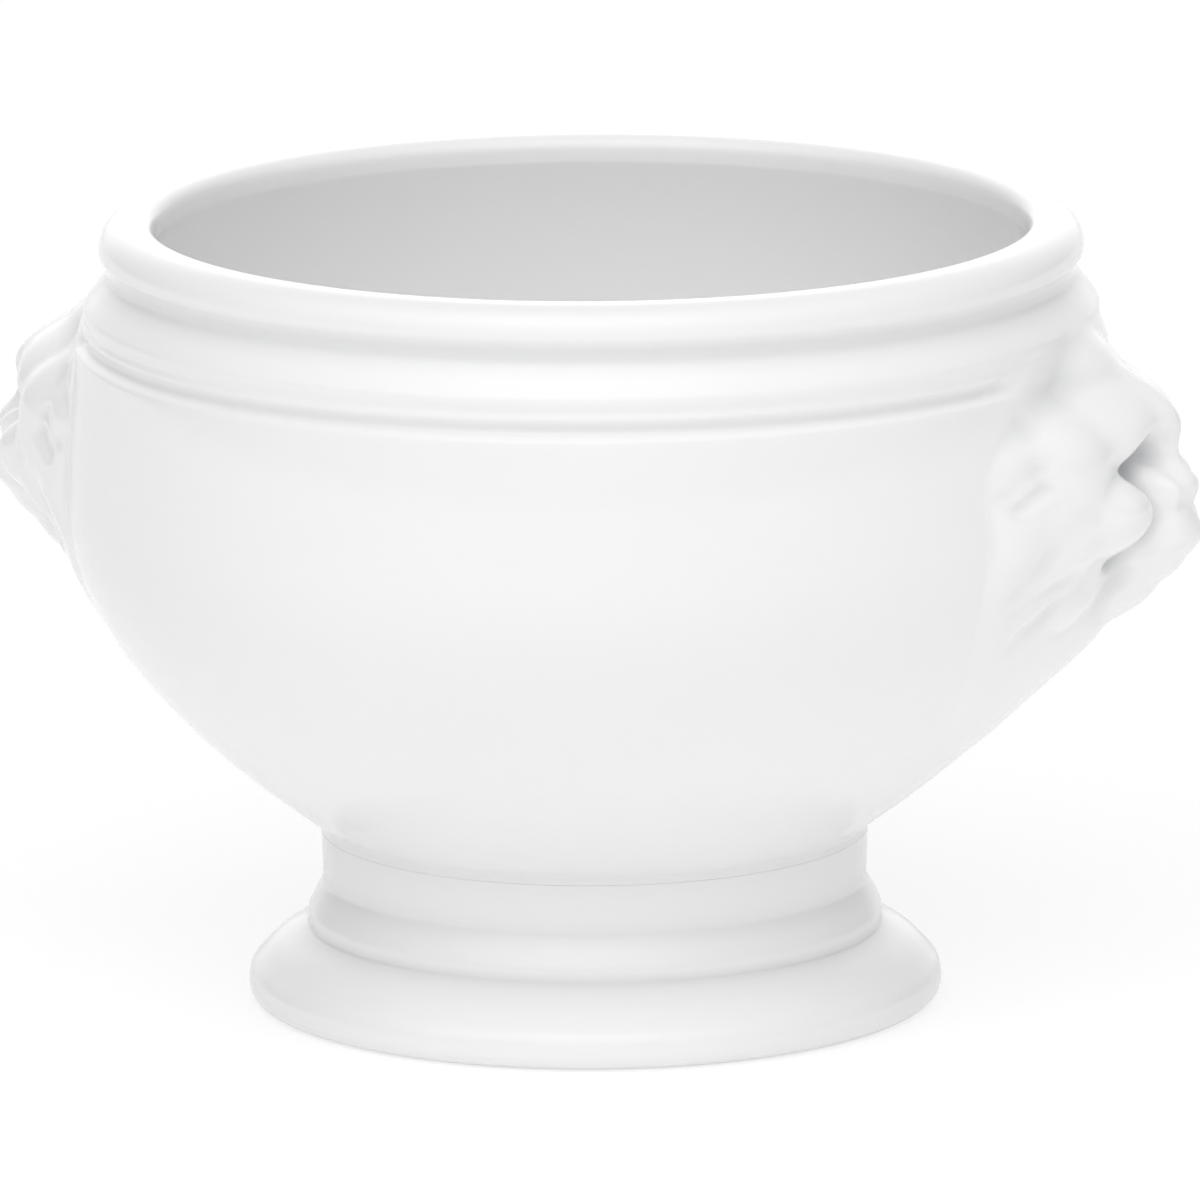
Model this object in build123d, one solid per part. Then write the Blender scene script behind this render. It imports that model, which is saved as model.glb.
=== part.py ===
from build123d import *
import math
import os

# Footed porcelain soup bowl with a lion's head lug on each side.
# Millimetres, +Z up, origin in the middle of the face that the foot stands on.
# One head looks along +X, the other along -X.
# Four clay pieces are luted together with slip and fired: the bowl, its foot and two heads.

# Foot, turned as a hollow ring: each rise is above the corner below it
FOOT_EDGE_RISE = 3.8
FOOT_EDGE_ROUNDING = 3.0
SOLE_ROUNDING = 2.0
SOLE_WIDTH = 5.5
SOLE_INNER_ROUNDING = 1.0
FLANGE_RISE = 3.2
FLANGE_ROUNDING = 8.0
FLANGE_SPREAD = 3.1
CREASE_RISE = 2.05
CREASE_ROUNDING = 0.25
CREASE_SPREAD = 4.2
CREASE_INSET = 0.1
BEAD_RISE = 1.95
BEAD_ROUNDING = 1.6
BEAD_STEP = 1.7
WAIST_RISE = 3.7
WAIST_ROUNDING = 1.4
WAIST_INSET = 0.2
NECK_RISE = 6.8
NECK_RADIUS = 33.2
NECK_WALL = 5.7
HOLLOW_CORNER_DROP = 9.0
HOLLOW_ROUNDING = 5.0

# Slip that joins the pieces
SLIP_THICKNESS = 0.4
SLIP_CLEARANCE = 0.05

# Bowl, outside
FLARE_ANGLE = 53.0
FLARE_HANDLE = 7.3
BELLY_RISE = 40.9
BELLY_RADIUS = 63.8
BELLY_HANDLE = 20.3
SHOULDER_RISE = 18.0
SHOULDER_INSET = 1.5

# Bowl, collar: each rise, inset and step is from the corner below it
GROOVE_RISE = 1.5
GROOVE_INSET = 1.6
GROOVE_ROUNDING = 1.0
QUIRK_RISE = 1.3
QUIRK_STEP = 0.75
QUIRK_ROUNDING = 0.4
BAND_FOOT_RISE = 0.6
BAND_FOOT_INSET = 0.3
BAND_FOOT_ROUNDING = 0.3
BAND_RISE = 1.3
BAND_STEP = 0.35
BAND_ROUNDING = 1.0
COVE_RISE = 5.2
COVE_INSET = 3.1
COVE_ROUNDING = 1.0
LIP_FOOT_RISE = 0.9
LIP_STEP = 1.05
LIP_FOOT_ROUNDING = 0.5
LIP_HEIGHT = 4.5
LIP_WIDTH = 6.8
LIP_DEPTH = 3.2
LIP_OUTER_ROUNDING = 4.0
LIP_INNER_ROUNDING = 1.9

# Bowl, inside
BELLY_WALL = 5.5
FLOOR_THICKNESS = 6.0
INNER_BELLY_HANDLE = 22.0
FLOOR_HANDLE = 34.0

# Lion's head: outline on the wall, rises measured from the middle of the belly
HEAD_HALF_WIDTH = 27.0
HEAD_TOP_RISE = 23.4
HEAD_BOTTOM_RISE = -30.0
HEAD_CORNER_ROUNDING = 14.0
HEAD_TOP_SQUARENESS = 4.2
HEAD_JAW_SQUARENESS = 2.0

# Lion's head: mane above the wall, thinner below the cheeks, and beard under the chin
MANE_EDGE = 1.2
MANE_THINNEST = 0.9
MANE_SWELL = 2.0
MANE_SWELL_WIDTH = 11.0
MANE_FADE_LOW = -14.0
MANE_FADE_HIGH = 6.0
BEARD_REACH = 3.7
BEARD_RISE = -14.0
BEARD_HALF_WIDTH = 6.5
BEARD_HALF_HEIGHT = 8.0

# Lion's head: rounded forms of the face, each
# (aside, rise, reach past the belly, half width, half height, fall at that distance, tilt)
SKULL = (0.0, 3.5, 6.4, 16.0, 14.0, 7.0, 0.0)
FOREHEAD = (0.0, 10.6, 9.2, 11.2, 6.7, 5.6, 0.0)
BROW = (6.0, 10.4, 7.6, 5.0, 2.4, 2.6, -10.0)
NOSE_BRIDGE = (0.0, 8.4, 10.9, 3.2, 5.5, 2.2, 0.0)
NOSE_TIP = (0.0, 4.4, 12.2, 4.3, 3.2, 3.0, 0.0)
NOSE_SIDE = (4.2, 5.2, 10.6, 1.5, 2.9, 1.8, 0.0)
WHISKER_PAD = (9.0, 2.2, 9.2, 4.0, 4.6, 4.6, 0.0)
CHEEK = (13.0, 3.0, 2.6, 6.5, 8.0, 4.5, 0.0)
LOWER_LIP = (0.0, -1.1, 12.6, 5.2, 3.6, 3.0, 0.0)
CHIN = (0.0, -4.0, 10.7, 3.0, 3.8, 3.6, 0.0)
JAW = (0.0, -6.2, 7.7, 3.6, 6.2, 6.0, 0.0)
FACE_FORMS = (
    SKULL,
    FOREHEAD,
    BROW,
    NOSE_BRIDGE,
    NOSE_TIP,
    NOSE_SIDE,
    WHISKER_PAD,
    CHEEK,
    LOWER_LIP,
    CHIN,
    JAW,
)
FORM_FULLNESS = 2.3
FACE_BLEND = 0.45

# Lion's head: eye socket (aside, rise, depth, half width, half height, tilt)
EYE_SOCKET = (6.0, 8.5, 3.8, 3.2, 2.2, -15.0)

# Lion's head: carved grooves, each (aside and rise of both ends, half width, depth)
PAD_GROOVE = (5.6, 7.2, 6.0, 2.0, 1.2, 1.8)
LIP_GROOVE = (6.0, 2.0, 8.4, -2.7, 1.2, 1.7)
BROAD_LOCK_GROOVE = (23.4, -6.4, 16.6, 4.2, 1.9, 1.0)
JAW_LOCK_GROOVE = (18.2, -11.8, 10.2, -6.0, 1.4, 0.8)
TEMPLE_LOCK_GROOVE = (25.4, 6.6, 19.4, 9.2, 1.4, 0.9)
GROOVES = (PAD_GROOVE, LIP_GROOVE, BROAD_LOCK_GROOVE, JAW_LOCK_GROOVE, TEMPLE_LOCK_GROOVE)

# Sampling of the relief
RELIEF_STEP = 1.1
RELIEF_TOLERANCE = 0.05
RELIEF_MARGIN = 3.0
RELIEF_DEPTH = 40.0
HALVINGS = 40

FLANGE_HEIGHT = FOOT_EDGE_RISE + FLANGE_RISE
CREASE_HEIGHT = FLANGE_HEIGHT + CREASE_RISE
BEAD_HEIGHT = CREASE_HEIGHT + BEAD_RISE
WAIST_HEIGHT = BEAD_HEIGHT + WAIST_RISE
FOOT_HEIGHT = WAIST_HEIGHT + NECK_RISE
BEAD_RADIUS = NECK_RADIUS + BEAD_STEP
CREASE_RADIUS = BEAD_RADIUS - CREASE_INSET
FLANGE_RADIUS = CREASE_RADIUS + CREASE_SPREAD
FOOT_RADIUS = FLANGE_RADIUS + FLANGE_SPREAD
HOLLOW_RADIUS = NECK_RADIUS - NECK_WALL
SEAT_HEIGHT = FOOT_HEIGHT + SLIP_THICKNESS
BELLY_HEIGHT = SEAT_HEIGHT + BELLY_RISE
SHOULDER_HEIGHT = BELLY_HEIGHT + SHOULDER_RISE
GROOVE_HEIGHT = SHOULDER_HEIGHT + GROOVE_RISE
QUIRK_HEIGHT = GROOVE_HEIGHT + QUIRK_RISE
BAND_FOOT_HEIGHT = QUIRK_HEIGHT + BAND_FOOT_RISE
BAND_HEIGHT = BAND_FOOT_HEIGHT + BAND_RISE
COVE_HEIGHT = BAND_HEIGHT + COVE_RISE
LIP_FOOT_HEIGHT = COVE_HEIGHT + LIP_FOOT_RISE
RIM_HEIGHT = LIP_FOOT_HEIGHT + LIP_HEIGHT
SHOULDER_RADIUS = BELLY_RADIUS - SHOULDER_INSET
GROOVE_RADIUS = SHOULDER_RADIUS - GROOVE_INSET
QUIRK_RADIUS = GROOVE_RADIUS + QUIRK_STEP
BAND_FOOT_RADIUS = QUIRK_RADIUS - BAND_FOOT_INSET
BAND_RADIUS = BAND_FOOT_RADIUS + BAND_STEP
COVE_RADIUS = BAND_RADIUS - COVE_INSET
LIP_RADIUS = COVE_RADIUS + LIP_STEP
INNER_LIP_RADIUS = LIP_RADIUS - LIP_WIDTH
INNER_BELLY_RADIUS = BELLY_RADIUS - BELLY_WALL
FLOOR_HEIGHT = SEAT_HEIGHT + FLOOR_THICKNESS
WHOLE_TURN = 360
HALF_TURN = WHOLE_TURN / 2


def turned(lines):
    """Solid made by turning a closed outline of (radius, height) lines about the Z axis."""
    return revolve(Plane.XZ * make_face(lines), Axis.Z, WHOLE_TURN)


def flare_points():
    """Control points of the belly's lower curve, from the seat's edge up to the widest girth."""
    angle = math.radians(FLARE_ANGLE)
    start = (NECK_RADIUS, SEAT_HEIGHT)
    leave = (
        NECK_RADIUS + FLARE_HANDLE * math.sin(angle),
        SEAT_HEIGHT + FLARE_HANDLE * math.cos(angle),
    )
    arrive = (BELLY_RADIUS, BELLY_HEIGHT - BELLY_HANDLE)
    end = (BELLY_RADIUS, BELLY_HEIGHT)
    return start, leave, arrive, end


def outside_lines():
    """The bowl's outside from the seat's edge over the belly and the collar to the lip's inside."""
    corners = [
        (SHOULDER_RADIUS, SHOULDER_HEIGHT),
        (GROOVE_RADIUS, GROOVE_HEIGHT),
        (QUIRK_RADIUS, QUIRK_HEIGHT),
        (BAND_FOOT_RADIUS, BAND_FOOT_HEIGHT),
        (BAND_RADIUS, BAND_HEIGHT),
        (COVE_RADIUS, COVE_HEIGHT),
        (LIP_RADIUS, LIP_FOOT_HEIGHT),
        (LIP_RADIUS, RIM_HEIGHT),
        (INNER_LIP_RADIUS, RIM_HEIGHT),
        (INNER_LIP_RADIUS, RIM_HEIGHT - LIP_DEPTH),
    ]
    roundings = [
        GROOVE_ROUNDING,
        QUIRK_ROUNDING,
        BAND_FOOT_ROUNDING,
        BAND_ROUNDING,
        COVE_ROUNDING,
        LIP_FOOT_ROUNDING,
        LIP_OUTER_ROUNDING,
        LIP_INNER_ROUNDING,
    ]
    girth = (BELLY_RADIUS, BELLY_HEIGHT)
    flare = Bezier(*flare_points())
    shoulder = TangentArc(girth, (SHOULDER_RADIUS, SHOULDER_HEIGHT), tangent=(0, 1))
    collar = FilletPolyline(*corners, radius=roundings)
    return [flare, shoulder, collar]


def bowl_plug(growth):
    """The bowl's outside as a filled solid, with every radius larger by a growth."""
    mouth = (INNER_LIP_RADIUS, RIM_HEIGHT - LIP_DEPTH)
    closing = Polyline(mouth, (-growth, mouth[1]), (-growth, SEAT_HEIGHT), (NECK_RADIUS, SEAT_HEIGHT))
    return turned([Pos(growth, 0) * line for line in outside_lines() + [closing]])


def make_bowl_body():
    """Bowl with a rolled lip, its wall closed along the inside to a flat seat under the floor."""
    mouth = (INNER_LIP_RADIUS, RIM_HEIGHT - LIP_DEPTH)
    inner_girth = (INNER_BELLY_RADIUS, BELLY_HEIGHT)
    inner_shoulder = TangentArc(inner_girth, mouth, tangent=(0, 1))
    inner_floor = Bezier(
        inner_girth,
        (INNER_BELLY_RADIUS, BELLY_HEIGHT - INNER_BELLY_HANDLE),
        (FLOOR_HANDLE, FLOOR_HEIGHT),
        (0, FLOOR_HEIGHT),
    )
    bottom = Polyline((0, FLOOR_HEIGHT), (0, SEAT_HEIGHT), (NECK_RADIUS, SEAT_HEIGHT))
    return turned(outside_lines() + [inner_shoulder, inner_floor, bottom])


def make_pedestal_foot():
    """Hollow foot: neck, waist, bead and flared flange outside, one sloped hollow inside."""
    corners = [
        (HOLLOW_RADIUS, FOOT_HEIGHT),
        (NECK_RADIUS, FOOT_HEIGHT),
        (NECK_RADIUS - WAIST_INSET, WAIST_HEIGHT),
        (BEAD_RADIUS, BEAD_HEIGHT),
        (CREASE_RADIUS, CREASE_HEIGHT),
        (FLANGE_RADIUS, FLANGE_HEIGHT),
        (FOOT_RADIUS, FOOT_EDGE_RISE),
        (FOOT_RADIUS, 0),
        (FOOT_RADIUS - SOLE_WIDTH, 0),
        (HOLLOW_RADIUS, FOOT_HEIGHT - HOLLOW_CORNER_DROP),
    ]
    roundings = [
        0,
        0,
        WAIST_ROUNDING,
        BEAD_ROUNDING,
        CREASE_ROUNDING,
        FLANGE_ROUNDING,
        FOOT_EDGE_ROUNDING,
        SOLE_ROUNDING,
        SOLE_INNER_ROUNDING,
        HOLLOW_ROUNDING,
    ]
    return turned(FilletPolyline(*corners, radius=roundings, close=True))


def make_foot_slip():
    """Ring of slip between the foot's neck and the bowl's seat."""
    ring = Cylinder(NECK_RADIUS, SLIP_THICKNESS, align=(Align.CENTER, Align.CENTER, Align.MIN))
    ring -= Cylinder(HOLLOW_RADIUS, SLIP_THICKNESS, align=(Align.CENTER, Align.CENTER, Align.MIN))
    return Pos(0, 0, FOOT_HEIGHT) * ring


def wall_radius(height):
    """Outside radius of the bowl at a height, by halving along the belly's lower curve."""
    if height >= BELLY_HEIGHT:
        rise = min(height - BELLY_HEIGHT, SHOULDER_RISE)
        drop = BELLY_RADIUS - SHOULDER_RADIUS
        bend = (SHOULDER_RISE**2 + drop**2) / (2 * drop)
        return BELLY_RADIUS - bend + math.sqrt(bend**2 - rise**2)
    points = flare_points()
    low = 0.0
    high = 1.0
    for _ in range(HALVINGS):
        middle = (low + high) / 2
        if cubic([point[1] for point in points], middle) < height:
            low = middle
        else:
            high = middle
    return cubic([point[0] for point in points], low)


def cubic(values, t):
    """Cubic curve of four control values at a share t of its way."""
    a, b, c, d = values
    s = 1 - t
    return a * s**3 + 3 * b * s**2 * t + 3 * c * s * t**2 + d * t**3


def form_spread(form, aside, rise):
    """Distance from a form's middle in half widths and half heights, on axes turned by its tilt."""
    form_aside, form_rise = form[:2]
    half_width, half_height = form[3:5]
    tilt = math.radians(form[-1])
    side = abs(aside) - form_aside
    up = rise - form_rise
    across = side * math.cos(tilt) + up * math.sin(tilt)
    along = up * math.cos(tilt) - side * math.sin(tilt)
    return math.hypot(across / half_width, along / half_height)


def form_reach(form, aside, rise):
    """Reach of a rounded form: its tip less a fall that grows with the distance from its middle."""
    reach = form[2]
    fall = form[5]
    return BELLY_RADIUS + reach - fall * form_spread(form, aside, rise) ** FORM_FULLNESS


def groove_depth(groove, aside, rise):
    """Depth of a carved groove: a bell curve of the distance from the line between its ends."""
    start_aside, start_rise, end_aside, end_rise, half_width, depth = groove
    run = end_aside - start_aside
    climb = end_rise - start_rise
    side = abs(aside) - start_aside
    up = rise - start_rise
    share = min(max((side * run + up * climb) / (run**2 + climb**2), 0), 1)
    distance = math.hypot(side - share * run, up - share * climb)
    return depth * math.exp(-((distance / half_width) ** 2))


def smooth_step(value, low, high):
    """From 0 at the low value to 1 at the high one, level at both ends."""
    share = min(max((value - low) / (high - low), 0), 1)
    return share**2 * (3 - 2 * share)


def inside_outline(aside, rise):
    """Distance inside the head's outline, squarer above its middle than below."""
    middle = (HEAD_TOP_RISE + HEAD_BOTTOM_RISE) / 2
    half_height = (HEAD_TOP_RISE - HEAD_BOTTOM_RISE) / 2
    square = HEAD_TOP_SQUARENESS if rise > middle else HEAD_JAW_SQUARENESS
    across = abs(aside) / HEAD_HALF_WIDTH
    along = abs(rise - middle) / half_height
    return (1 - (across**square + along**square) ** (1 / square)) * half_height


def soft_maximum(values, blend):
    """Largest of the values, with the corners between them rounded over the blend."""
    top = max(values)
    return top + blend * math.log(sum(math.exp((value - top) / blend) for value in values))


def relief_reach(aside, rise):
    """Outward reach of the head's surface at a place across it and above the belly's middle."""
    wall = math.sqrt(wall_radius(BELLY_HEIGHT + rise) ** 2 - aside**2)
    inside = inside_outline(aside, rise)
    fade = smooth_step(rise, MANE_FADE_LOW, MANE_FADE_HIGH)
    swell = MANE_SWELL * fade * smooth_step(inside, 0, MANE_SWELL_WIDTH)
    beard_spread = math.hypot(aside / BEARD_HALF_WIDTH, (rise - BEARD_RISE) / BEARD_HALF_HEIGHT)
    beard = BEARD_REACH * math.exp(-(beard_spread**2))
    mane = wall + MANE_EDGE + swell + beard
    reaches = [form_reach(form, aside, rise) for form in FACE_FORMS]
    surface = soft_maximum([mane] + reaches, FACE_BLEND)
    socket = EYE_SOCKET[2] * math.exp(-(form_spread(EYE_SOCKET, aside, rise) ** 2))
    groove = max(groove_depth(groove, aside, rise) for groove in GROOVES)
    return max(surface - socket - groove, wall + MANE_THINNEST)


def head_outline():
    """Column along X over the patch of wall that a head covers: square-shouldered, round below."""
    middle = (HEAD_TOP_RISE + HEAD_BOTTOM_RISE) / 2
    half_height = (HEAD_TOP_RISE - HEAD_BOTTOM_RISE) / 2
    upper = FilletPolyline(
        (HEAD_HALF_WIDTH, middle),
        (HEAD_HALF_WIDTH, HEAD_TOP_RISE),
        (-HEAD_HALF_WIDTH, HEAD_TOP_RISE),
        (-HEAD_HALF_WIDTH, middle),
        radius=HEAD_CORNER_ROUNDING,
    )
    lower = EllipticalCenterArc((0, middle), HEAD_HALF_WIDTH, half_height, HALF_TURN, arc_size=HALF_TURN)
    shield = make_face([upper, lower])
    return extrude(Plane.YZ * Pos(0, BELLY_HEIGHT) * shield, 2 * BELLY_RADIUS)


def make_lion_head():
    """Head towards +X: the relief's surface carried inwards, kept to its outline, seated on slip."""
    low = HEAD_BOTTOM_RISE - RELIEF_MARGIN
    high = HEAD_TOP_RISE + RELIEF_MARGIN
    half_width = HEAD_HALF_WIDTH + RELIEF_MARGIN
    rows = math.ceil((high - low) / RELIEF_STEP)
    columns = 2 * math.ceil(half_width / RELIEF_STEP)
    asides = [half_width * (2 * column / columns - 1) for column in range(columns + 1)]
    grid = []
    for row in range(rows + 1):
        rise = low + (high - low) * row / rows
        grid.append([(relief_reach(aside, rise), aside, BELLY_HEIGHT + rise) for aside in asides])
    surface = Face.make_surface_from_array_of_points(grid, tol=RELIEF_TOLERANCE)
    block = Solid.extrude(surface, Vector(-RELIEF_DEPTH, 0, 0))
    mask = block & head_outline()
    return mask - bowl_plug(SLIP_THICKNESS)


def make_head_slip():
    """Layer of slip between the +X head and the bowl's wall, a hair's clearance off the wall."""
    return head_outline() & (bowl_plug(SLIP_THICKNESS) - bowl_plug(SLIP_CLEARANCE))


def main():
    """Makes every piece and writes one file for each."""
    half_turn = Rot(0, 0, HALF_TURN)
    lion_head = make_lion_head()
    head_slip = make_head_slip()
    pieces = {
        "bowl_body": make_bowl_body(),
        "pedestal_foot": make_pedestal_foot(),
        "foot_slip_joint": make_foot_slip(),
        "right_lion_head": lion_head,
        "left_lion_head": half_turn * lion_head,
        "right_head_slip_joint": head_slip,
        "left_head_slip_joint": half_turn * head_slip,
    }
    os.makedirs("parts", exist_ok=True)
    for name, piece in pieces.items():
        export_step(piece, f"parts/{name}.step")


main()
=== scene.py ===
import math

import bpy
import numpy as np
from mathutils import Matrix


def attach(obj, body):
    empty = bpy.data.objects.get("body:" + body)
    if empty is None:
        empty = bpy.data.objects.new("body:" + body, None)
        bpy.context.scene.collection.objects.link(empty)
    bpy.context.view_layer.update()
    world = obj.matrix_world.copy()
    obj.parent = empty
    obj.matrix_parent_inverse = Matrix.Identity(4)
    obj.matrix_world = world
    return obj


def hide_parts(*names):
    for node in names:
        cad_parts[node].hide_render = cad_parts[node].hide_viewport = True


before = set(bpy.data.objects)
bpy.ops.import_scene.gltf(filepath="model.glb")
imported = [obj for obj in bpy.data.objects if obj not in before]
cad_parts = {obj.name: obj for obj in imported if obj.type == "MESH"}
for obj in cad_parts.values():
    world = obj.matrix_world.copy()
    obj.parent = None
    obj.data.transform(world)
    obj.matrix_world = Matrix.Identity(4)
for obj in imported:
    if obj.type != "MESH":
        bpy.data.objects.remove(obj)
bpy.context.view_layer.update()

# Footed porcelain soup bowl with a lion's head lug on each side, one towards +X and one towards -X.
# Lengths are in millimetres and become metres where a mesh, the lamp or the camera is made.
MM = 0.001
FULL_TURN = 2 * math.pi
NO_FACES = np.empty((0, 3), dtype=int)

# Foot: outline once round as (radius, height, rounding)
NECK_RADIUS = 33.2
FOOT_OUTLINE = (
    (27.5, 17.0, 0.0),
    (27.5, 12.5, 5.0),
    (36.6, 0.0, 1.0),
    (42.1, 0.0, 2.0),
    (42.1, 3.8, 3.0),
    (39.0, 7.0, 8.0),
    (35.1, 9.0, 0.3),
    (34.8, 9.1, 0.25),
    (34.9, 11.0, 1.6),
    (33.0, 14.7, 1.4),
    (NECK_RADIUS, 21.5, 0.1),
    (27.5, 21.5, 0.1),
    (27.5, 17.0, 0.0),
)

# Slip bead in the corner between neck and belly
SLIP_REACH = 1.1
SLIP_BACK = (-0.6, 0.3)
SLIP_STEP = 0.15

# Bowl: outside of the belly
SEAT_HEIGHT = 21.9
SEAT_RADIUS = NECK_RADIUS
FLARE_ANGLE = 53.0
FLARE_HANDLE = 7.3
BELLY_HEIGHT = 62.8
BELLY_RADIUS = 63.8
BELLY_HANDLE = 20.3
SHOULDER_HEIGHT = 80.8
SHOULDER_RADIUS = 62.3

# Bowl: collar and lip as (radius, height above the shoulder, rounding)
COLLAR = (
    (SHOULDER_RADIUS, 0.0, 0.0),
    (60.7, 1.0, 1.0),
    (61.5, 2.4, 0.4),
    (61.15, 3.2, 0.3),
    (61.5, 4.7, 1.6),
    (57.7, 9.5, 2.1),
    (59.45, 11.3, 1.0),
    (59.45, 15.3, 3.5),
    (52.65, 15.3, 1.9),
    (52.65, 12.1, 0.0),
)
BAND_CORNER = 4

# Bowl: inside
INNER_BELLY_RADIUS = 58.3
INNER_BELLY_HANDLE = 22.0
FLOOR_HEIGHT = 27.9
FLOOR_HANDLE = 34.0

# Lion's head: outline on the wall, rises measured from the middle of the belly
HEAD_HALF_WIDTH = 27.0
HEAD_TOP_RISE = 23.4
HEAD_BOTTOM_RISE = -30.0
HEAD_TOP_SQUARENESS = 4.2
HEAD_JAW_SQUARENESS = 2.0

# Lion's head: mane
MANE_EDGE = 1.2
MANE_SWELL = 3.2
MANE_SWELL_WIDTH = 10.0
MANE_FADE = (-14.0, 6.0)
EDGE_SOFTNESS = 0.35
EDGE_SLOPE = 0.9
EDGE_SINK = 0.06
EDGE_BLEND = 3.0
EDGE_FADE = (-18.0, 0.0)
JAW_EDGE_SHARE = 0.4
TOP_FADE = (18.5, 7.5)
TOP_EDGE_SHARE = 0.1
SINK_SLOPE = 0.5
SINK_DEPTH = 2.2
SINK_START = 0.8
MANE_THINNEST = 0.3

# Lion's head: rounded forms of the face, each
# (aside, rise, reach past the belly, half width, half height, fall at that distance, tilt in degrees)
SKULL = (0.0, 3.5, 6.6, 18.0, 14.0, 7.0, 0.0)
CROWN = (0.0, 15.0, 3.0, 11.0, 7.0, 5.0, 0.0)
FOREHEAD = (0.0, 10.4, 9.0, 13.0, 7.0, 5.8, 0.0)
BROW = (6.0, 10.4, 7.6, 5.0, 2.4, 2.6, -10.0)
TEMPLE = (12.0, 8.5, 4.8, 8.0, 6.5, 4.5, 0.0)
NOSE_BRIDGE = (0.0, 8.4, 11.0, 3.2, 5.5, 2.2, 0.0)
NOSE_TIP = (0.0, 4.4, 12.2, 4.3, 3.2, 3.0, 0.0)
NOSE_SIDE = (3.8, 4.4, 11.3, 1.4, 3.2, 1.8, 0.0)
WHISKER_PAD = (9.0, 2.6, 8.9, 6.2, 5.2, 4.4, 0.0)
CHEEK = (13.5, 3.0, 5.0, 7.0, 8.0, 4.5, 0.0)
UPPER_LIP = (0.0, 1.6, 11.3, 4.4, 2.4, 2.5, 0.0)
LOWER_LIP = (0.0, -1.1, 12.6, 5.2, 3.6, 3.0, 0.0)
CHIN = (0.0, -4.0, 10.4, 4.6, 3.8, 3.6, 0.0)
JAW = (0.0, -6.2, 7.4, 6.0, 6.4, 6.0, 0.0)
JOWL = (9.0, -6.5, 1.9, 5.5, 5.0, 3.5, 0.0)
EYEBALL = (6.6, 8.3, 3.8, 1.6, 1.2, 1.3, -10.0)
FACE_FORMS = (
    SKULL,
    CROWN,
    FOREHEAD,
    BROW,
    TEMPLE,
    NOSE_BRIDGE,
    NOSE_TIP,
    NOSE_SIDE,
    WHISKER_PAD,
    CHEEK,
    UPPER_LIP,
    LOWER_LIP,
    CHIN,
    JAW,
    JOWL,
)
FORM_FULLNESS = 2.3
FACE_BLEND = 0.6
EYE_BLEND = 0.15

# Lion's head: hollows of the face, each (aside, rise, depth, half width, half height, tilt in degrees)
EYE_SOCKET = (4.6, 8.2, 4.8, 3.9, 2.4, -15.0)
NOSTRIL = (1.8, 2.7, 0.35, 1.0, 0.8, 0.0)
HOLLOWS = (EYE_SOCKET, NOSTRIL)

# Lion's head: carved grooves, each (aside and rise of both ends, half width, depth)
NOSE_GROOVE = (5.4, 7.0, 5.2, 2.0, 1.1, 2.2)
PAD_GROOVE = (5.2, 2.0, 5.8, -1.5, 1.2, 2.0)
LIP_GROOVE = (5.8, -1.5, 7.6, -3.8, 1.2, 1.5)
MOUTH_GROOVE = (0.0, 0.6, 6.0, -1.2, 0.8, 0.3)
EAR_GROOVE = (26.0, 12.5, 21.0, 14.4, 1.6, 0.5)
TEMPLE_GROOVE = (25.0, 7.2, 21.4, 9.6, 1.2, 0.9)
SIDE_GROOVE = (24.0, 5.6, 21.4, 7.6, 1.2, 1.1)
BROAD_GROOVE = (22.6, -5.4, 17.2, 2.6, 2.4, 1.0)
CHEEK_GROOVE = (21.6, -7.6, 15.4, -4.2, 1.7, 0.7)
JAW_GROOVE = (18.2, -11.4, 12.0, -7.2, 1.7, 0.7)
GROOVES = (
    NOSE_GROOVE,
    PAD_GROOVE,
    LIP_GROOVE,
    MOUTH_GROOVE,
    EAR_GROOVE,
    TEMPLE_GROOVE,
    SIDE_GROOVE,
    BROAD_GROOVE,
    CHEEK_GROOVE,
    JAW_GROOVE,
)

# Lion's head: beard under the chin
BEARD_REACH = 3.4
BEARD_RISE = -13.0
BEARD_HALF_HEIGHT = 8.0
BEARD_HALF_WIDTH = 8.5

# Lion's head: back, in rings a little way under the outside of the wall
BACK_DEPTH = 2.8
BACK_RINGS = 10

# Glaze's softening of edges, and the width over which a hollow counts as one
GLAZE_SOFTENING = 0.22
HEAD_SOFTENING = 0.35
RECESS_WIDTH = 1.6
BELL_WIDTHS = 4

# Fineness of lines and surfaces
PROFILE_STEP = 0.04
CURVE_STEP = 0.02
CORNER_POINTS = 41
ROW_SPAN = 1.3
ROW_TURN = math.radians(7)
BOWL_COLUMNS = 320
FOOT_COLUMNS = 320
HEAD_MARGIN = 3.0
HEAD_STEP = 0.21

# Glaze, bare clay and slip, as red, green, blue and cover
PALE_GLAZE = (0.905, 0.905, 0.905, 1)
DEEP_GLAZE = (0.885, 0.886, 0.888, 1)
# Painted shade: the glaze darkens towards this grey in hollows and grooves, fully at the recess depth below
HOLLOW_SHADE_COLOUR = (0.66, 0.665, 0.675, 1)
HOLLOW_SHADE_DEPTH = 1.3
BARE_CLAY = (0.84, 0.83, 0.81, 1)
BARE_HEIGHT = 0.5
SLIP_GLAZE = (0.88, 0.88, 0.878, 1)
CLOUD_SCALE = 38.0
CLOUD_DETAIL = 3.0
PEEL_SCALE = 160.0
PEEL_DETAIL = 2.0
PEEL_STRENGTH = 0.05
PEEL_DEPTH = 1.0
SMOOTHEST_GLAZE = 0.07
ROUGHEST_GLAZE = 0.14
BARE_ROUGHNESS = 0.65
GLAZE_IOR = 1.4

# Studio: table, as it lights the bowl and as the camera sees it
TABLE_HALF_WIDTH = 8000.0
TABLE_HEIGHT = -0.1
TABLE_COLOUR = (0.85, 0.85, 0.85, 1)
TABLE_GLOW = 0.22
SEEN_TABLE_COLOUR = (0.35, 0.35, 0.35, 1)
SEEN_TABLE_GLOW = 0.68

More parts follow.
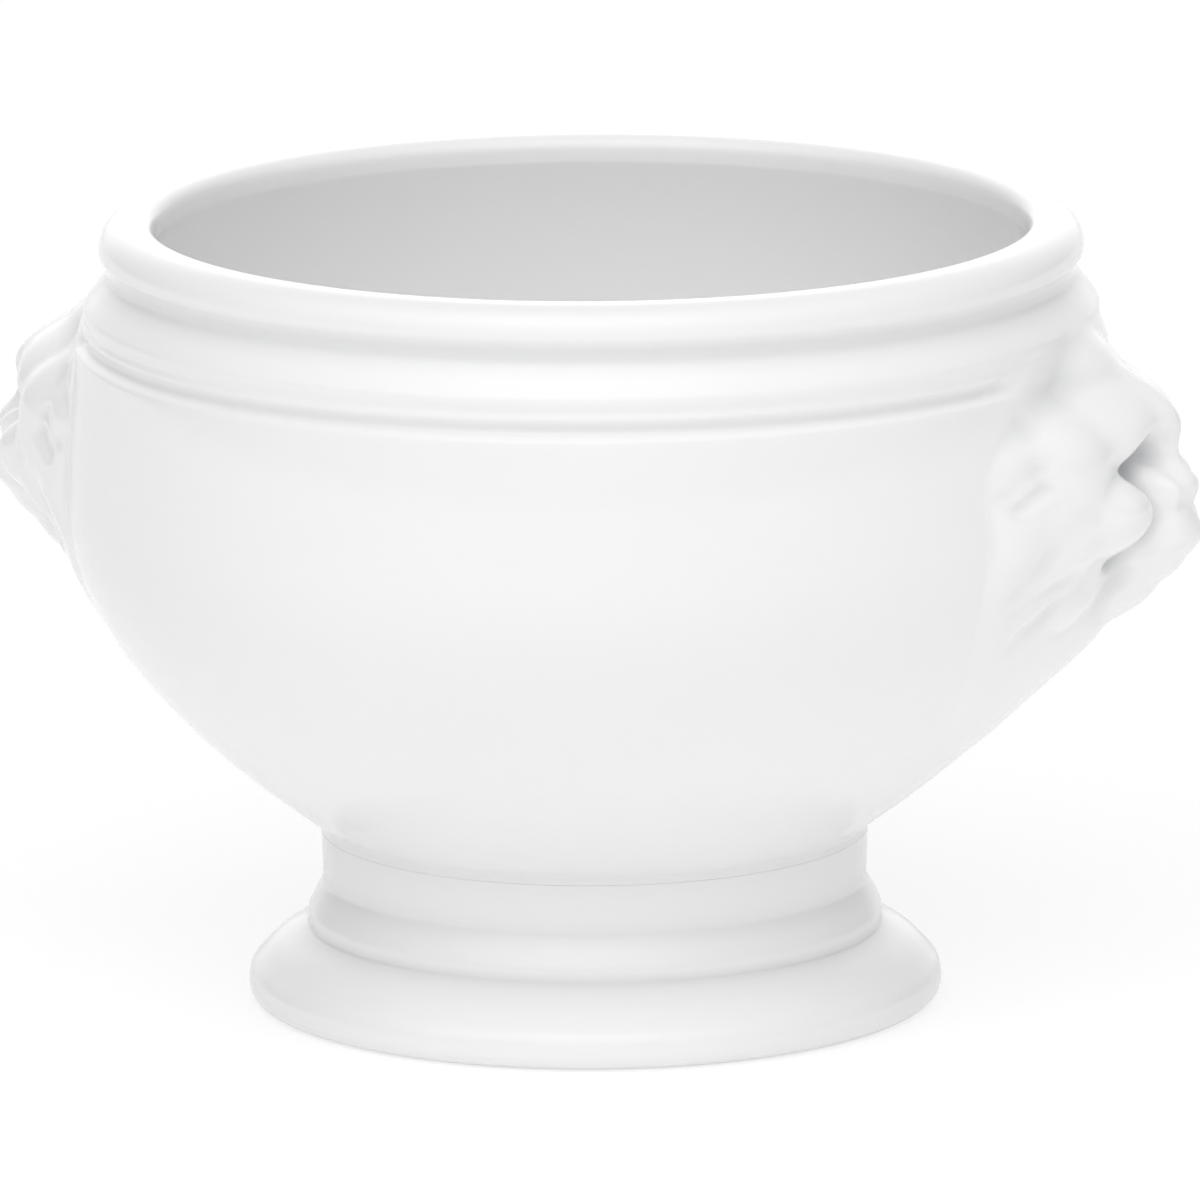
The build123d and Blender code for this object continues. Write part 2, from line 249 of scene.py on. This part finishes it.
# Studio: sky patches as (degrees to the camera's right, degrees above level, focus, strength)
SKY_PATCHES = (
    (0.0, 50.0, 4.0, 2.1),
    (-45.0, 50.0, 8.0, 1.1),
    (-90.0, 50.0, 4.0, 0.2),
    (90.0, 50.0, 4.0, 0.7),
    (180.0, 15.0, 4.0, 2.0),
)
SEEN_SKY = 1.0

# Studio: soft box in front of the bowl and high above it
BOX_PLACE = (235.0, -768.0, 1197.0)
BOX_AIM = (0.0, 0.0, 50.0)
BOX_SIZE = 1000.0
BOX_WATTS = 1.0

# Camera of the photograph: angles in degrees
CAMERA_ELEVATION = 12.0
CAMERA_AZIMUTH = 17.61
CAMERA_ROLL = -0.33
CAMERA_DISTANCE = 2000.0
CAMERA_LENS = 495.2
CAMERA_SENSOR = 36.0
CAMERA_CLIP = 100000.0
AIM_HEIGHT = 45.0
AIM_ASIDE = 0.81
AIM_UP = 3.62


def mesh_object(name, points, quads, triangles, recess):
    """Object with a mesh of the points, given in millimetres, each with its depth in a hollow."""
    mesh = bpy.data.meshes.new(name)
    mesh.from_pydata((points * MM).tolist(), [], quads.tolist() + triangles.tolist())
    mesh.validate()
    mesh.polygons.foreach_set("use_smooth", np.ones(len(mesh.polygons), dtype=bool))
    mesh.attributes.new("recess", "FLOAT", "POINT").data.foreach_set("value", recess)
    mesh.update()
    piece = bpy.data.objects.new(name, mesh)
    bpy.context.scene.collection.objects.link(piece)
    return piece


def grid_quads(rows, columns, rows_close, columns_close):
    """Corner numbers of the quads between neighbouring rows and columns of a grid of points."""
    index = np.arange(rows * columns).reshape(rows, columns)
    if rows_close:
        index = np.concatenate([index, index[:1]], axis=0)
    if columns_close:
        index = np.concatenate([index, index[:, :1]], axis=1)
    corners = [index[:-1, :-1], index[:-1, 1:], index[1:, 1:], index[1:, :-1]]
    return np.stack(corners, axis=-1).reshape(-1, 4)


def bezier(start, leave, arrive, end):
    """Cubic curve through its two end points, leaving and arriving along its two handles."""
    span = np.linalg.norm(np.subtract(end, start))
    t = np.linspace(0, 1, int(span / CURVE_STEP))[:, None]
    s = 1 - t
    return s**3 * start + 3 * s**2 * t * leave + 3 * s * t**2 * arrive + t**3 * end


def shoulder_curve(start, end):
    """Arc that leaves the start straight up and reaches the end, by its rise over a bend radius."""
    rise = end[1] - start[1]
    inset = start[0] - end[0]
    bend = (rise**2 + inset**2) / (2 * inset)
    height = np.linspace(0, rise, int(rise / PROFILE_STEP))
    radius = start[0] - bend + np.sqrt(bend**2 - height**2)
    return np.stack([radius, start[1] + height], axis=-1)


def rounded_line(corners, roundings):
    """Straight runs between corners, each corner an arc of its rounding that touches both its runs."""
    pieces = [corners[:1]]
    bends = zip(corners[:-2], corners[1:-1], corners[2:], roundings[1:-1])
    for before, corner, after, rounding in bends:
        arrive = (before - corner) / np.linalg.norm(before - corner)
        leave = (after - corner) / np.linalg.norm(after - corner)
        half_angle = np.arccos(np.clip(arrive @ leave, -1, 1)) / 2
        middle = (arrive + leave) / np.linalg.norm(arrive + leave)
        centre = corner + middle * rounding / np.sin(half_angle)
        sweep = np.linspace(-1, 1, CORNER_POINTS)[:, None] * (math.pi / 2 - half_angle)
        side = np.sign(arrive[0] * leave[1] - arrive[1] * leave[0])
        across = np.array([-middle[1], middle[0]]) * side
        pieces.append(centre + rounding * (-middle * np.cos(sweep) + across * np.sin(sweep)))
    pieces.append(corners[-1:])
    return np.concatenate(pieces)


def even_line(points, step):
    """The same line with points at even steps of its length."""
    length = np.concatenate([[0], np.cumsum(np.linalg.norm(np.diff(points, axis=0), axis=1))])
    keep = np.concatenate([[True], np.diff(length) > 0])
    places = np.linspace(0, length[-1], int(length[-1] / step) + 1)
    return np.stack([np.interp(places, length[keep], points[keep, axis]) for axis in (0, 1)], axis=-1)


def soften(values, sigma, closed):
    """Values blurred along their first axis by a bell curve of that many samples."""
    reach = int(BELL_WIDTHS * sigma) + 1
    bell = np.exp(-0.5 * (np.arange(-reach, reach + 1) / sigma) ** 2)
    bell /= bell.sum()
    mode = "wrap" if closed else "reflect"
    options = {} if closed else {"reflect_type": "odd"}
    padded = np.pad(values, [(reach, reach)] + [(0, 0)] * (values.ndim - 1), mode=mode, **options)
    return np.apply_along_axis(lambda line: np.convolve(line, bell, "valid"), 0, padded)


def glazed_profile(points, closed):
    """Rows of radius, height and hollow depth: an outline softened by glaze, finest where it bends."""
    line = soften(even_line(points, PROFILE_STEP), GLAZE_SOFTENING / PROFILE_STEP, closed)
    step = np.diff(line, axis=0)
    span = np.linalg.norm(step, axis=1)
    heading = np.unwrap(np.arctan2(step[:, 1], step[:, 0]))
    turn = np.abs(np.diff(heading, prepend=heading[:1]))
    weight = np.concatenate([[0], np.cumsum(span / ROW_SPAN + turn / ROW_TURN)])
    away = np.gradient(line, axis=0)[:, ::-1] * np.array([1, -1])
    away /= np.linalg.norm(away, axis=1, keepdims=True)
    level = soften(line, RECESS_WIDTH / PROFILE_STEP, closed)
    recess = ((level - line) * away).sum(axis=1)
    places = np.linspace(0, weight[-1], int(weight[-1]) + 1)
    return np.stack([np.interp(places, weight, values) for values in (*line.T, recess)], axis=-1)


def turned_points(profile, columns):
    """Rings of points: each (radius, height) of the profile carried round the Z axis."""
    angle = np.arange(columns) * FULL_TURN / columns
    radius = profile[:, :1]
    height = np.repeat(profile[:, 1:2], columns, axis=1)
    return np.stack([radius * np.cos(angle), radius * np.sin(angle), height], axis=-1).reshape(-1, 3)


def turned_ring(name, profile, columns):
    """Closed ring: an outline that goes once round, anticlockwise in radius and height, turned about Z."""
    profile = profile[:-1]
    quads = grid_quads(len(profile), columns, True, True)
    recess = np.repeat(profile[:, 2], columns)
    return mesh_object(name, turned_points(profile, columns), quads, NO_FACES, recess)


def turned_cup(name, profile, columns):
    """Closed solid of revolution: an outline from the axis back to the axis, its two ends single points."""
    rows = len(profile) - 2
    poles = np.array([[0, 0, profile[0, 1]], [0, 0, profile[-1, 1]]])
    points = np.concatenate([turned_points(profile[1:-1], columns), poles])
    recess = np.concatenate([np.repeat(profile[1:-1, 2], columns), profile[[0, -1], 2]])
    first = np.arange(columns)
    after = np.roll(first, -1)
    last = (rows - 1) * columns
    low_pole = np.full(columns, rows * columns)
    low_fan = np.stack([low_pole, after, first], axis=-1)
    high_fan = np.stack([low_pole + 1, last + first, last + after], axis=-1)
    fans = np.concatenate([low_fan, high_fan])
    return mesh_object(name, points, grid_quads(rows, columns, False, True), fans, recess)


def flare_curve():
    """Belly from the seat's edge up to its widest girth."""
    angle = math.radians(FLARE_ANGLE)
    start = np.array([SEAT_RADIUS, SEAT_HEIGHT])
    leave = start + FLARE_HANDLE * np.array([math.sin(angle), math.cos(angle)])
    end = np.array([BELLY_RADIUS, BELLY_HEIGHT])
    return bezier(start, leave, end - np.array([0, BELLY_HANDLE]), end)


def bowl_outline():
    """The bowl's whole outline: seat, belly, collar, lip, inside wall and floor."""
    girth = (BELLY_RADIUS, BELLY_HEIGHT)
    shoulder = shoulder_curve(girth, (SHOULDER_RADIUS, SHOULDER_HEIGHT))
    collar = np.array(COLLAR)
    corners = collar[:, :2] + np.array([0, SHOULDER_HEIGHT])
    lip = rounded_line(corners, collar[:, 2])
    inner_wall = shoulder_curve((INNER_BELLY_RADIUS, BELLY_HEIGHT), tuple(corners[-1]))[::-1]
    inner_girth = np.array([INNER_BELLY_RADIUS, BELLY_HEIGHT])
    leave = inner_girth - np.array([0, INNER_BELLY_HANDLE])
    floor = bezier(inner_girth, leave, np.array([FLOOR_HANDLE, FLOOR_HEIGHT]), np.array([0, FLOOR_HEIGHT]))
    seat = np.array([[0, SEAT_HEIGHT]])
    return np.concatenate([seat, flare_curve(), shoulder, lip, inner_wall, floor])


def bowl_profile():
    """The bowl's outline under its glaze, its two ends on the axis."""
    profile = glazed_profile(bowl_outline(), False)
    profile[[0, -1], 0] = 0
    return profile


def foot_profile():
    """The foot's outline under its glaze: hollow, sole, flange, crease, bead, waist and neck."""
    corners = np.array(FOOT_OUTLINE)
    return glazed_profile(rounded_line(corners[:, :2], corners[:, 2]), True)


def slip_profile():
    """Cross-section of the slip bead where the neck meets the belly: a hollow curve between the two."""
    angle = math.radians(FLARE_ANGLE)
    corner = np.array([NECK_RADIUS, SEAT_HEIGHT])
    low = corner - np.array([0, SLIP_REACH])
    high = corner + SLIP_REACH * np.array([math.sin(angle), math.cos(angle)])
    back = corner + np.array(SLIP_BACK)
    section = even_line(np.stack([*bezier(low, corner, corner, high), back, low]), SLIP_STEP)
    return np.concatenate([section, np.zeros((len(section), 1))], axis=1)


def wall_lines():
    """Outside of the bowl as it is, and as it would go on up to the band without the groove."""
    profile = even_line(bowl_outline(), PROFILE_STEP)
    outside = profile[np.argmax(profile[:, 0] >= SEAT_RADIUS):np.argmax(profile[:, 1])]
    shoulder = shoulder_curve((BELLY_RADIUS, BELLY_HEIGHT), (SHOULDER_RADIUS, SHOULDER_HEIGHT))
    band = np.array(COLLAR[BAND_CORNER][:2]) + np.array([0, SHOULDER_HEIGHT])
    return outside, np.concatenate([flare_curve(), shoulder, [band]])


def form_spread(form, aside, rise):
    """Distance from a form's middle in half widths and half heights, on axes turned by its tilt."""
    middle_aside, middle_rise, _, half_width, half_height, *_, degrees = form
    tilt = math.radians(degrees)
    side = np.abs(aside) - middle_aside
    up = rise - middle_rise
    across = side * math.cos(tilt) + up * math.sin(tilt)
    along = up * math.cos(tilt) - side * math.sin(tilt)
    return np.hypot(across / half_width, along / half_height)


def form_reach(form, aside, rise):
    """Reach of a rounded form: its tip less a fall that grows with the distance from its middle."""
    _, _, tip, _, _, fall, _ = form
    return BELLY_RADIUS + tip - fall * form_spread(form, aside, rise) ** FORM_FULLNESS


def hollow_depth(hollow, aside, rise):
    """Depth of a rounded hollow, a bell curve about its middle."""
    _, _, depth, _, _, _ = hollow
    return depth * np.exp(-form_spread(hollow, aside, rise) ** 2)


def soft_maximum(surfaces, blend):
    """Largest of the surfaces, the corners between them rounded over the blend."""
    stack = np.stack(surfaces) / blend
    top = stack.max(axis=0)
    return blend * (top + np.log(np.exp(stack - top).sum(axis=0)))


def smooth_step(values, low, high):
    """From 0 at the low value to 1 at the high one, level at both ends."""
    t = np.clip((values - low) / (high - low), 0, 1)
    return t * t * (3 - 2 * t)


def inside_outline(aside, rise):
    """Distance inside the head's outline, a shield of two rounded squares that meet at mid height."""
    middle = (HEAD_TOP_RISE + HEAD_BOTTOM_RISE) / 2
    half_height = (HEAD_TOP_RISE - HEAD_BOTTOM_RISE) / 2
    across = np.abs(aside) / HEAD_HALF_WIDTH
    along = np.abs(rise - middle) / half_height
    square = np.where(rise > middle, HEAD_TOP_SQUARENESS, HEAD_JAW_SQUARENESS)
    share = (across**square + along**square) ** (1 / square)
    return (1 - share) * half_height


def groove_depth(groove, aside, rise):
    """Depth of a carved groove: a bell curve of the distance from the line between its ends."""
    near_aside, near_rise, far_aside, far_rise, half_width, depth = groove
    run = far_aside - near_aside
    climb = far_rise - near_rise
    side = np.abs(aside) - near_aside
    up = rise - near_rise
    share = np.clip((side * run + up * climb) / (run**2 + climb**2), 0, 1)
    distance = np.hypot(side - share * run, up - share * climb)
    return depth * np.exp(-((distance / half_width) ** 2))


def wall_reach(aside, rise, inside):
    """Outward reach of the wall under a head: the bowl's outside, its groove filled within the outline."""
    outside, plain = wall_lines()
    height = rise + BELLY_HEIGHT
    grooved = np.interp(height, outside[:, 1], outside[:, 0])
    filled = np.interp(height, plain[:, 1], plain[:, 0]) - grooved
    radius = grooved + filled * smooth_step(inside, 0, EDGE_BLEND)
    return np.sqrt(radius**2 - aside**2)


def mane_relief(aside, rise, inside):
    """Height of the mane over the wall: its border alone, then with the swell of the mane and the beard."""
    edge = EDGE_SLOPE * EDGE_SOFTNESS * np.logaddexp(0, inside / EDGE_SOFTNESS)
    sink = EDGE_SINK + np.clip(SINK_SLOPE * (-inside - SINK_START), 0, SINK_DEPTH)
    top_fade = smooth_step(rise, *TOP_FADE)
    jaw_share = JAW_EDGE_SHARE + (1 - JAW_EDGE_SHARE) * smooth_step(rise, *EDGE_FADE)
    thick = MANE_EDGE * jaw_share * (TOP_EDGE_SHARE + (1 - TOP_EDGE_SHARE) * top_fade)
    border = thick * (1 - np.exp(-edge / MANE_EDGE)) - sink
    dome = 1 - (1 - np.clip(inside / MANE_SWELL_WIDTH, 0, 1)) ** 2
    swell = dome * smooth_step(rise, *MANE_FADE) * top_fade
    beard_spread = np.hypot(aside / BEARD_HALF_WIDTH, (rise - BEARD_RISE) / BEARD_HALF_HEIGHT)
    return border, border + MANE_SWELL * swell + BEARD_REACH * np.exp(-(beard_spread**2))


def head_reach(aside, rise):
    """Outward reach of a head: the largest of mane and face forms, less the grooves and hollows in them."""
    inside = inside_outline(aside, rise)
    wall = wall_reach(aside, rise, inside)
    border, mane = mane_relief(aside, rise, inside)
    face = [form_reach(form, aside, rise) for form in FACE_FORMS]
    surface = soft_maximum([wall + mane] + face, FACE_BLEND)
    grooves = np.max([groove_depth(groove, aside, rise) for groove in GROOVES], axis=0)
    hollows = sum(hollow_depth(hollow, aside, rise) for hollow in HOLLOWS)
    carved = np.maximum(surface - grooves - hollows, wall + np.minimum(border, MANE_THINNEST))
    return soft_maximum([carved, form_reach(EYEBALL, aside, rise)], EYE_BLEND)


def back_reach(aside, rise):
    """Outward reach of the head's back, which follows the bowl's outside a little way under it."""
    outside, _ = wall_lines()
    radius = np.interp(rise + BELLY_HEIGHT, outside[:, 1], outside[:, 0]) - BACK_DEPTH
    return np.sqrt(radius**2 - aside**2)


def soften_sheet(sheet, width):
    """A grid of reaches blurred along both its directions over a width."""
    blur = width / HEAD_STEP
    return soften(soften(sheet, blur, False).T, blur, False).T


def head_back(rim, aside, rise, start):
    """Back of a head: rings that shrink from its rim to one point, each place at the reach of the back."""
    rings = start + np.arange(BACK_RINGS * len(rim)).reshape(BACK_RINGS, -1)
    loops = np.concatenate([rim[None], rings])
    after = np.roll(loops, -1, axis=1)
    quads = np.stack([after[1:], after[:-1], loops[:-1], loops[1:]], axis=-1).reshape(-1, 4)
    heart = np.full(len(rim), start + rings.size)
    fan = np.stack([heart, after[-1], loops[-1]], axis=-1)
    shares = np.append(np.repeat(np.linspace(1, 1 / BACK_RINGS, BACK_RINGS), len(rim)), 0)
    across = shares * np.resize(aside, len(shares))
    up = shares * np.resize(rise, len(shares))
    points = np.stack([back_reach(across, up), across, up + BELLY_HEIGHT], axis=-1)
    return points, quads, fan


def lion_head(name, turn):
    """Head as a reach over a grid of places across it and up it, closed by its back inside the wall."""
    half = HEAD_HALF_WIDTH + HEAD_MARGIN
    low = HEAD_BOTTOM_RISE - HEAD_MARGIN
    high = HEAD_TOP_RISE + HEAD_MARGIN
    aside = np.linspace(-half, half, int(2 * half / HEAD_STEP) + 1)
    rise = np.linspace(low, high, int((high - low) / HEAD_STEP) + 1)
    across, up = np.meshgrid(aside, rise)
    reach = soften_sheet(head_reach(across, up), HEAD_SOFTENING)
    recess = soften_sheet(reach, RECESS_WIDTH) - reach
    rows, columns = reach.shape
    index = np.arange(rows * columns).reshape(rows, columns)
    rim = np.concatenate([index[0, :-1], index[:-1, -1], index[-1, :0:-1], index[:0:-1, 0]])
    surface = np.stack([reach, across, up + BELLY_HEIGHT], axis=-1).reshape(-1, 3)
    back, back_quads, fan = head_back(rim, across.ravel()[rim], up.ravel()[rim], rows * columns)
    points = np.concatenate([surface, back]) * np.array([turn, turn, 1])
    quads = np.concatenate([grid_quads(rows, columns, False, False), back_quads])
    return mesh_object(name, points, quads, fan, np.append(recess, np.zeros(len(back))))


def new_material(name):
    """Empty node material and its output."""
    material = bpy.data.materials.new(name)
    material.use_nodes = True
    material.node_tree.nodes.clear()
    output = material.node_tree.nodes.new("ShaderNodeOutputMaterial")
    return material, material.node_tree, output


def node(tree, kind, inputs=None, **settings):
    """Node with its settings, and its inputs given as values or as sockets to link from."""
    made = tree.nodes.new(kind)
    for key, value in settings.items():
        setattr(made, key, value)
    for key, value in (inputs or {}).items():
        if isinstance(value, bpy.types.NodeSocket):
            tree.links.new(value, made.inputs[key])
        else:
            made.inputs[key].default_value = value
    return made


def mixed(tree, share, first, second):
    """Colour between two, each a value or a socket, by a share."""
    return node(tree, "ShaderNodeMix", {0: share, 6: first, 7: second}, data_type="RGBA").outputs[2]


def noise(tree, place, scale, detail):
    """Soft random pattern over places."""
    pattern = node(tree, "ShaderNodeTexNoise", {"Vector": place, "Scale": scale, "Detail": detail})
    return pattern.outputs["Fac"]


def ranged(tree, value, ends):
    """Value carried from one range to another, each from 0 to 1 unless its ends are given."""
    return node(tree, "ShaderNodeMapRange", {"Value": value, **ends}).outputs["Result"]


def porcelain(name, pale, deep):
    """White glaze, faintly clouded and slightly uneven, with painted shade darkening its hollows, left off
    the foot's sole.
    """
    material, tree, output = new_material(name)
    place = node(tree, "ShaderNodeTexCoord").outputs["Object"]
    clouds = noise(tree, place, CLOUD_SCALE, CLOUD_DETAIL)
    peel = noise(tree, place, PEEL_SCALE, PEEL_DETAIL)
    recess = node(tree, "ShaderNodeAttribute", attribute_name="recess").outputs["Fac"]
    height = node(tree, "ShaderNodeSeparateXYZ", {"Vector": place}).outputs["Z"]
    # Painted shade: the glaze is darkened in hollows and grooves by the depth of each hollow
    hollow_shade = ranged(tree, recess, {"From Max": HOLLOW_SHADE_DEPTH})
    bare = ranged(tree, height, {"From Min": BARE_HEIGHT * MM, "From Max": 0.0})
    shaded_glaze_colour = mixed(tree, hollow_shade, mixed(tree, clouds, pale, deep), HOLLOW_SHADE_COLOUR)
    gloss = ranged(tree, clouds, {"To Min": SMOOTHEST_GLAZE, "To Max": ROUGHEST_GLAZE})
    roughness = node(tree, "ShaderNodeMix", {0: bare, 2: gloss, 3: BARE_ROUGHNESS}, data_type="FLOAT")
    bump = node(tree, "ShaderNodeBump", {
        "Height": peel,
        "Strength": PEEL_STRENGTH,
        "Distance": PEEL_DEPTH * MM,
    })
    surface = node(tree, "ShaderNodeBsdfPrincipled", {
        "Base Color": mixed(tree, bare, shaded_glaze_colour, BARE_CLAY),
        "Roughness": roughness.outputs[0],
        "Normal": bump.outputs["Normal"],
        "IOR": GLAZE_IOR,
    })
    tree.links.new(surface.outputs["BSDF"], output.inputs["Surface"])
    return material


def studio_floor():
    """Wide pale table under the foot, white to the camera, with the bowl's soft shadow on it."""
    corners = np.array([[-1, -1, 0], [1, -1, 0], [1, 1, 0], [-1, 1, 0]]) * TABLE_HALF_WIDTH
    points = corners + np.array([0, 0, TABLE_HEIGHT])
    floor = mesh_object("studio_floor", points, np.array([[0, 1, 2, 3]]), NO_FACES, np.zeros(4))
    material, tree, output = new_material("pale_table")
    path = node(tree, "ShaderNodeLightPath")
    table = node(tree, "ShaderNodeBsdfDiffuse", {"Color": TABLE_COLOUR})
    glow = node(tree, "ShaderNodeEmission", {"Strength": TABLE_GLOW})
    lit_table = node(tree, "ShaderNodeAddShader", {0: table.outputs[0], 1: glow.outputs[0]})
    shade = node(tree, "ShaderNodeBsdfDiffuse", {"Color": SEEN_TABLE_COLOUR})
    white = node(tree, "ShaderNodeEmission", {"Strength": SEEN_TABLE_GLOW})
    seen_table = node(tree, "ShaderNodeAddShader", {0: shade.outputs[0], 1: white.outputs[0]})
    sides = {0: path.outputs["Is Camera Ray"], 1: lit_table.outputs[0], 2: seen_table.outputs[0]}
    tree.links.new(node(tree, "ShaderNodeMixShader", sides).outputs[0], output.inputs["Surface"])
    floor.data.materials.append(material)


def sky_patch(tree, way, patch):
    """Light of one soft patch of the sky: its strength times a power of how far a direction faces it."""
    aside, rise, focus, strength = patch
    bearing = math.radians(CAMERA_AZIMUTH + aside)
    height = math.radians(rise)
    level = math.cos(height)
    middle = (math.sin(bearing) * level, -math.cos(bearing) * level, math.sin(height))
    facing = node(tree, "ShaderNodeVectorMath", {0: way, 1: middle}, operation="DOT_PRODUCT")
    towards = node(tree, "ShaderNodeMath", {0: facing.outputs["Value"], 1: 0.0}, operation="MAXIMUM")
    share = node(tree, "ShaderNodeMath", {0: towards.outputs[0], 1: focus}, operation="POWER")
    return node(tree, "ShaderNodeMath", {0: share.outputs[0], 1: strength}, operation="MULTIPLY").outputs[0]


def studio_world():
    """Soft light from large patches of sky, white where the camera looks past the table."""
    world = bpy.data.worlds.new("soft_studio")
    bpy.context.scene.world = world
    world.use_nodes = True
    tree = world.node_tree
    tree.nodes.clear()
    way = node(tree, "ShaderNodeTexCoord").outputs["Generated"]
    shares = [sky_patch(tree, way, patch) for patch in SKY_PATCHES]
    light = shares[0]
    for share in shares[1:]:
        light = node(tree, "ShaderNodeMath", {0: light, 1: share}, operation="ADD").outputs[0]
    seen = node(tree, "ShaderNodeLightPath").outputs["Is Camera Ray"]
    strength = node(tree, "ShaderNodeMix", {0: seen, 2: light, 3: SEEN_SKY}, data_type="FLOAT")
    background = node(tree, "ShaderNodeBackground", {"Strength": strength.outputs[0]})
    output = node(tree, "ShaderNodeOutputWorld")
    tree.links.new(background.outputs[0], output.inputs["Surface"])


def front_box():
    """Square soft box in front of the bowl and high above it, turned to face it."""
    lamp = bpy.data.lights.new("front_box", "AREA")
    lamp.shape = "SQUARE"
    lamp.size = BOX_SIZE * MM
    lamp.energy = BOX_WATTS
    box = bpy.data.objects.new("front_box", lamp)
    bpy.context.scene.collection.objects.link(box)
    box.location = np.array(BOX_PLACE) * MM
    way = np.array(BOX_AIM) - np.array(BOX_PLACE)
    yaw = math.atan2(way[1], way[0])
    pitch = math.atan2(math.hypot(way[0], way[1]), -way[2])
    box.rotation_euler = (pitch, 0, yaw - math.pi / 2)


def place_camera():
    """Long lens a little above the rim and turned towards the right-hand head, as in the photograph."""
    elevation = math.radians(CAMERA_ELEVATION)
    azimuth = math.radians(CAMERA_AZIMUTH)
    side = np.array([math.cos(azimuth), math.sin(azimuth), 0])
    front = np.array([math.sin(azimuth), -math.cos(azimuth), 0])
    rise = np.array([0, 0, 1])
    back = front * math.cos(elevation) + rise * math.sin(elevation)
    up = rise * math.cos(elevation) - front * math.sin(elevation)
    aim = rise * AIM_HEIGHT + side * AIM_ASIDE + up * AIM_UP
    data = bpy.data.cameras.new("photo_camera")
    data.lens = CAMERA_LENS
    data.sensor_width = CAMERA_SENSOR
    data.clip_end = CAMERA_CLIP * MM
    camera = bpy.data.objects.new("photo_camera", data)
    bpy.context.scene.collection.objects.link(camera)
    camera.location = (aim + back * CAMERA_DISTANCE) * MM
    camera.rotation_euler = (math.pi / 2 - elevation, 0, azimuth)
    camera.rotation_euler.rotate_axis("Z", math.radians(CAMERA_ROLL))
    bpy.context.scene.camera = camera


def dress(piece, material, slot, *nodes):
    """Gives a piece its material, and puts it in the place of the solids it shows; its slot is not used."""
    piece.data.materials.append(material)
    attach(piece, "root")
    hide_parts(*nodes)


def main():
    """Makes every piece, dresses it and lights it."""
    glaze = porcelain("white_glaze_porcelain", PALE_GLAZE, DEEP_GLAZE)
    slip = porcelain("glazed_slip", SLIP_GLAZE, DEEP_GLAZE)
    bowl = turned_cup("glazed_bowl", bowl_profile(), BOWL_COLUMNS)
    foot = turned_ring("glazed_foot", foot_profile(), FOOT_COLUMNS)
    bead = turned_ring("foot_slip_bead", slip_profile(), FOOT_COLUMNS)
    right_head = lion_head("right_head", 1)
    left_head = lion_head("left_head", -1)
    dress(bowl, glaze, "white_glaze", "bowl_body")
    dress(foot, glaze, "white_glaze", "pedestal_foot")
    dress(bead, slip, "fired_slip", "foot_slip_joint")
    dress(right_head, glaze, "white_glaze", "right_lion_head", "right_head_slip_joint")
    dress(left_head, glaze, "white_glaze", "left_lion_head", "left_head_slip_joint")
    studio_floor()
    studio_world()
    front_box()
    place_camera()
    bpy.context.scene.view_settings.view_transform = "Standard"


main()
